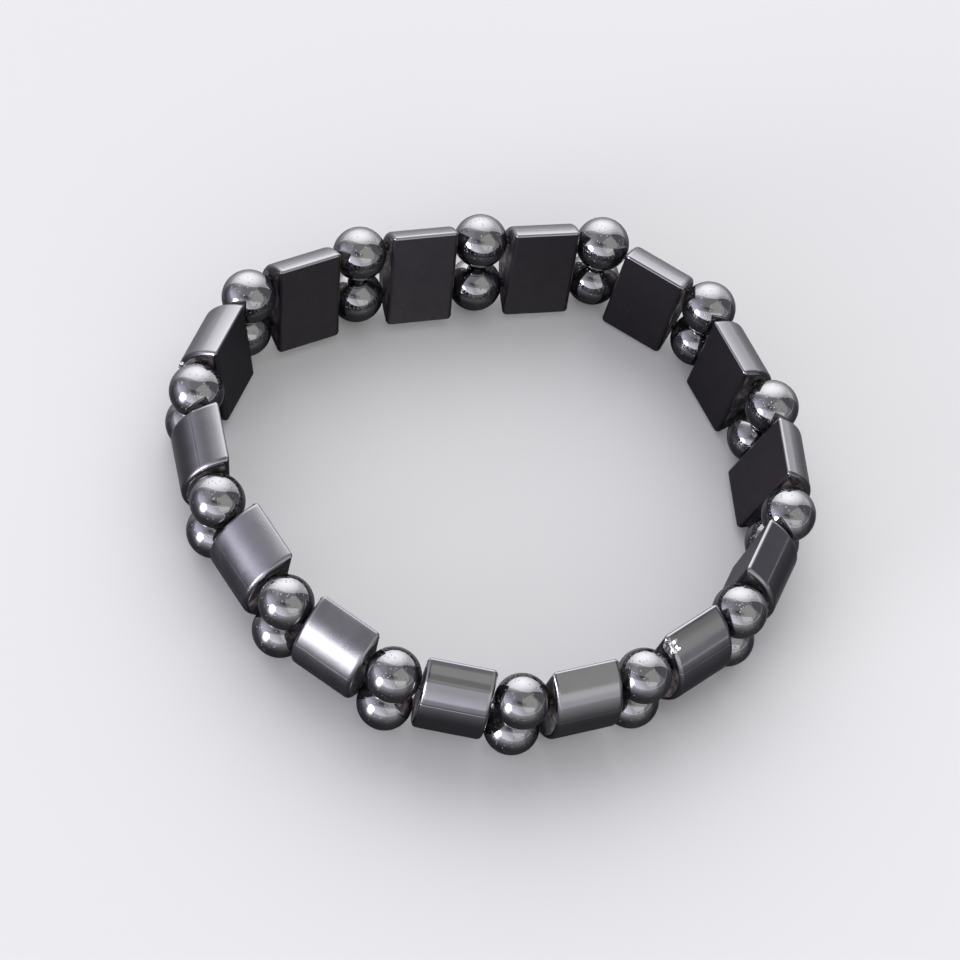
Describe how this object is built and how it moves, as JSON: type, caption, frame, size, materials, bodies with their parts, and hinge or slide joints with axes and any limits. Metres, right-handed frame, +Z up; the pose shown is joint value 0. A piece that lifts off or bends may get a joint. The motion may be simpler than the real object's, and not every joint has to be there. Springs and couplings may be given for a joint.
{
  "type": "magnetic bracelet",
  "caption": "Stretch bracelet of domed hematite plates and paired round hematite beads on elastic cords, lying as it fell.",
  "frame": {"origin": "middle of the bracelet's plan box, on the surface that it lies on", "axes": "+Z up, along the wrist; +X along the loop's longest width; +Y away from the viewer"},
  "size_m": [0.071, 0.0672, 0.0124],
  "materials": {
    "hematite_plate": "dark grey magnetic hematite: polished dome, semi-matte back, ground ends",
    "hematite_bead": "mirror-polished dark grey hematite",
    "elastic": "smooth black elastic cord"
  },
  "bodies": {
    "root": {"plate_01": "hematite_plate", "plate_02": "hematite_plate", "plate_03": "hematite_plate", "plate_04": "hematite_plate", "plate_05": "hematite_plate", "plate_06": "hematite_plate", "plate_07": "hematite_plate", "plate_08": "hematite_plate", "plate_09": "hematite_plate", "plate_10": "hematite_plate", "plate_11": "hematite_plate", "plate_12": "hematite_plate", "plate_13": "hematite_plate", "plate_14": "hematite_plate", "upper_bead_01": "hematite_bead", "upper_bead_02": "hematite_bead", "upper_bead_03": "hematite_bead", "upper_bead_04": "hematite_bead", "upper_bead_05": "hematite_bead", "upper_bead_06": "hematite_bead", "upper_bead_07": "hematite_bead", "upper_bead_08": "hematite_bead", "upper_bead_09": "hematite_bead", "upper_bead_10": "hematite_bead", "upper_bead_11": "hematite_bead", "upper_bead_12": "hematite_bead", "upper_bead_13": "hematite_bead", "upper_bead_14": "hematite_bead", "lower_bead_01": "hematite_bead", "lower_bead_02": "hematite_bead", "lower_bead_03": "hematite_bead", "lower_bead_04": "hematite_bead", "lower_bead_05": "hematite_bead", "lower_bead_06": "hematite_bead", "lower_bead_07": "hematite_bead", "lower_bead_08": "hematite_bead", "lower_bead_09": "hematite_bead", "lower_bead_10": "hematite_bead", "lower_bead_11": "hematite_bead", "lower_bead_12": "hematite_bead", "lower_bead_13": "hematite_bead", "lower_bead_14": "hematite_bead", "upper_elastic": "elastic", "lower_elastic": "elastic"}
  },
  "joints": []
}
